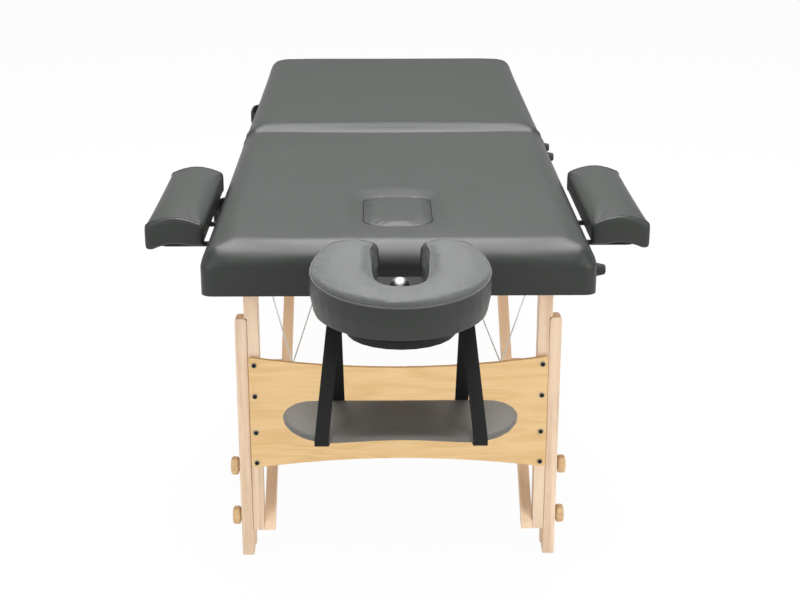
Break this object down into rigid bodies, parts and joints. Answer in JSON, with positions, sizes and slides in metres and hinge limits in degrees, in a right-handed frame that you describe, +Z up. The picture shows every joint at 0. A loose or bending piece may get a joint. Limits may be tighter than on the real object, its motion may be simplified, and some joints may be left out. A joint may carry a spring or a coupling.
{
  "type": "folding massage table",
  "caption": "Two-section folding massage table: dark padded top on hinged wooden legs with braces and cables, face cradle, arm sling, side armrests and face-hole plug.",
  "frame": {"origin": "on the floor under the middle of the footprint, cradle and armrests included", "axes": "+X to the right seen from the head end, +Y from the head end to the foot end, +Z up"},
  "size_m": [0.931, 2.1826, 0.6623],
  "materials": {
    "leather": "anthracite grey imitation leather, satin",
    "shelf_leather": "brown grey imitation leather, satin",
    "beech": "clear satin lacquer",
    "panel_plywood": "beech-faced plywood, satin lacquer",
    "deck_plywood": "plain plywood",
    "knob_wood": "turned wood, satin lacquer",
    "steel": "zinc plated",
    "black_steel": "black powder coat",
    "webbing": "black woven webbing",
    "rubber": "black moulded rubber",
    "chrome": "polished"
  },
  "bodies": {
    "head_half": {"head_frame": "beech", "head_deck": "deck_plywood", "head_pad": "leather", "fold_hinge_head_leaf": "steel", "head_leg_axle": "steel", "head_brace_rail": "beech", "head_handle": "webbing", "rubber_foot_end": "rubber", "rubber_foot_head_fold": "rubber"},
    "fold_link": {"fold_hinge_pin": "steel", "head_cable_left": "steel", "head_cable_right": "steel", "foot_cable_left": "steel", "foot_cable_right": "steel"},
    "foot_half": {"foot_frame": "beech", "foot_deck": "deck_plywood", "foot_pad": "leather", "fold_hinge_foot_leaf": "steel", "foot_leg_axle": "steel", "foot_brace_rail": "beech", "foot_handle": "webbing", "rubber_foot_foot_fold": "rubber"},
    "head_legs": {"head_leg_left": "beech", "head_leg_right": "beech", "head_end_panel": "panel_plywood"},
    "head_lower_links": {"head_lower_link_left": "beech", "head_lower_link_right": "beech"},
    "head_upper_links": {"head_upper_link_left": "beech", "head_upper_link_right": "beech"},
    "head_extension_left": {"head_extension_left": "beech"},
    "head_knob_left_low": {"head_knob_left_low": "knob_wood"},
    "head_knob_left_high": {"head_knob_left_high": "knob_wood"},
    "head_extension_right": {"head_extension_right": "beech"},
    "head_knob_right_low": {"head_knob_right_low": "knob_wood"},
    "head_knob_right_high": {"head_knob_right_high": "knob_wood"},
    "foot_legs": {"foot_leg_left": "beech", "foot_leg_right": "beech", "foot_end_panel": "panel_plywood"},
    "foot_lower_links": {"foot_lower_link_left": "beech", "foot_lower_link_right": "beech"},
    "foot_upper_links": {"foot_upper_link_left": "beech", "foot_upper_link_right": "beech"},
    "foot_extension_left": {"foot_extension_left": "beech"},
    "foot_knob_left_low": {"foot_knob_left_low": "knob_wood"},
    "foot_knob_left_high": {"foot_knob_left_high": "knob_wood"},
    "foot_extension_right": {"foot_extension_right": "beech"},
    "foot_knob_right_low": {"foot_knob_right_low": "knob_wood"},
    "foot_knob_right_high": {"foot_knob_right_high": "knob_wood"},
    "plug": {"face_plug": "leather"},
    "armrest_left": {"armrest_bracket_left": "steel", "armrest_pad_left": "leather"},
    "armrest_right": {"armrest_bracket_right": "steel", "armrest_pad_right": "leather"},
    "cradle_carriage": {"cradle_rods": "steel"},
    "cradle_head": {"cradle_plate": "black_steel", "cradle_clamp": "chrome", "cradle_cushion": "leather"},
    "sling": {"sling_shelf": "shelf_leather", "sling_strap_left": "webbing", "sling_strap_right": "webbing"}
  },
  "joints": [
    {"name": "fold_last", "type": "hinge", "parent": "head_half", "child": "fold_link", "pos_m": [0, 0.16132, 0.537], "axis": [-1, 0, 0], "range_deg": [0, 60], "deforming": ["head_cable_left", "head_cable_right", "foot_cable_left", "foot_cable_right"]},
    {"name": "fold_first", "type": "hinge", "parent": "fold_link", "child": "foot_half", "pos_m": [0, 0.16132, 0.537], "axis": [-1, 0, 0], "range_deg": [0, 120], "deforming": ["head_cable_left", "head_cable_right", "foot_cable_left", "foot_cable_right"]},
    {"name": "head_legs_fold", "type": "hinge", "parent": "head_half", "child": "head_legs", "pos_m": [0, -0.66968, 0.5665], "axis": [1, 0, 0], "range_deg": [0, 90]},
    {"name": "head_lower_links_fold", "type": "hinge", "parent": "head_legs", "child": "head_lower_links", "pos_m": [0, -0.66968, 0.066], "axis": [1, 0, 0], "range_deg": [0, 51.8]},
    {"name": "head_upper_links_fold", "type": "hinge", "parent": "head_half", "child": "head_upper_links", "pos_m": [0, -0.02868, 0.5705], "axis": [-1, 0, 0], "range_deg": [0, 38.2]},
    {"name": "head_extension_left_slide", "type": "slide", "parent": "head_legs", "child": "head_extension_left", "axis": [0, 0, -1], "range_m": [0, 0.18]},
    {"name": "head_knob_left_low_spin", "type": "hinge", "parent": "head_legs", "child": "head_knob_left_low", "pos_m": [0, -0.66968, 0.0765], "axis": [-1, 0, 0], "range_deg": [0, 360]},
    {"name": "head_knob_left_high_spin", "type": "hinge", "parent": "head_legs", "child": "head_knob_left_high", "pos_m": [0, -0.66968, 0.1777], "axis": [-1, 0, 0], "range_deg": [0, 360]},
    {"name": "head_extension_right_slide", "type": "slide", "parent": "head_legs", "child": "head_extension_right", "axis": [0, 0, -1], "range_m": [0, 0.18]},
    {"name": "head_knob_right_low_spin", "type": "hinge", "parent": "head_legs", "child": "head_knob_right_low", "pos_m": [0, -0.66968, 0.0765], "axis": [1, 0, 0], "range_deg": [0, 360]},
    {"name": "head_knob_right_high_spin", "type": "hinge", "parent": "head_legs", "child": "head_knob_right_high", "pos_m": [0, -0.66968, 0.1777], "axis": [1, 0, 0], "range_deg": [0, 360]},
    {"name": "foot_legs_fold", "type": "hinge", "parent": "foot_half", "child": "foot_legs", "pos_m": [0, 0.99232, 0.5665], "axis": [-1, 0, 0], "range_deg": [0, 90]},
    {"name": "foot_lower_links_fold", "type": "hinge", "parent": "foot_legs", "child": "foot_lower_links", "pos_m": [0, 0.99232, 0.066], "axis": [-1, 0, 0], "range_deg": [0, 51.8]},
    {"name": "foot_upper_links_fold", "type": "hinge", "parent": "foot_half", "child": "foot_upper_links", "pos_m": [0, 0.35132, 0.5705], "axis": [1, 0, 0], "range_deg": [0, 38.2]},
    {"name": "foot_extension_left_slide", "type": "slide", "parent": "foot_legs", "child": "foot_extension_left", "axis": [0, 0, -1], "range_m": [0, 0.18]},
    {"name": "foot_knob_left_low_spin", "type": "hinge", "parent": "foot_legs", "child": "foot_knob_left_low", "pos_m": [0, 0.99232, 0.0765], "axis": [-1, 0, 0], "range_deg": [0, 360]},
    {"name": "foot_knob_left_high_spin", "type": "hinge", "parent": "foot_legs", "child": "foot_knob_left_high", "pos_m": [0, 0.99232, 0.1777], "axis": [-1, 0, 0], "range_deg": [0, 360]},
    {"name": "foot_extension_right_slide", "type": "slide", "parent": "foot_legs", "child": "foot_extension_right", "axis": [0, 0, -1], "range_m": [0, 0.18]},
    {"name": "foot_knob_right_low_spin", "type": "hinge", "parent": "foot_legs", "child": "foot_knob_right_low", "pos_m": [0, 0.99232, 0.0765], "axis": [1, 0, 0], "range_deg": [0, 360]},
    {"name": "foot_knob_right_high_spin", "type": "hinge", "parent": "foot_legs", "child": "foot_knob_right_high", "pos_m": [0, 0.99232, 0.1777], "axis": [1, 0, 0], "range_deg": [0, 360]},
    {"name": "plug_lift", "type": "slide", "parent": "head_half", "child": "plug", "axis": [0, 0, 1], "range_m": [0, 0.08]},
    {"name": "armrest_left_slide", "type": "slide", "parent": "head_half", "child": "armrest_left", "axis": [-1, 0, 0], "range_m": [0, 0.05]},
    {"name": "armrest_right_slide", "type": "slide", "parent": "head_half", "child": "armrest_right", "axis": [1, 0, 0], "range_m": [0, 0.05]},
    {"name": "cradle_slide", "type": "slide", "parent": "head_half", "child": "cradle_carriage", "axis": [0, -1, 0], "range_m": [0, 0.1]},
    {"name": "cradle_tilt", "type": "hinge", "parent": "cradle_carriage", "child": "cradle_head", "pos_m": [0, -0.81368, 0.5525], "axis": [1, 0, 0], "range_deg": [-15, 20]},
    {"name": "sling_swing", "type": "hinge", "parent": "cradle_head", "child": "sling", "pos_m": [0, -0.95046, 0.56386], "axis": [1, 0, 0], "range_deg": [-15, 15]}
  ],
  "couplings": [
    {"joint": "head_legs_fold", "follows": "fold_first", "ratio": 0.75},
    {"joint": "head_lower_links_fold", "follows": "fold_first", "ratio": 0.43162},
    {"joint": "head_upper_links_fold", "follows": "fold_first", "ratio": 0.31838},
    {"joint": "foot_legs_fold", "follows": "fold_first", "ratio": 0.75},
    {"joint": "foot_lower_links_fold", "follows": "fold_first", "ratio": 0.43162},
    {"joint": "foot_upper_links_fold", "follows": "fold_first", "ratio": 0.31838}
  ]
}
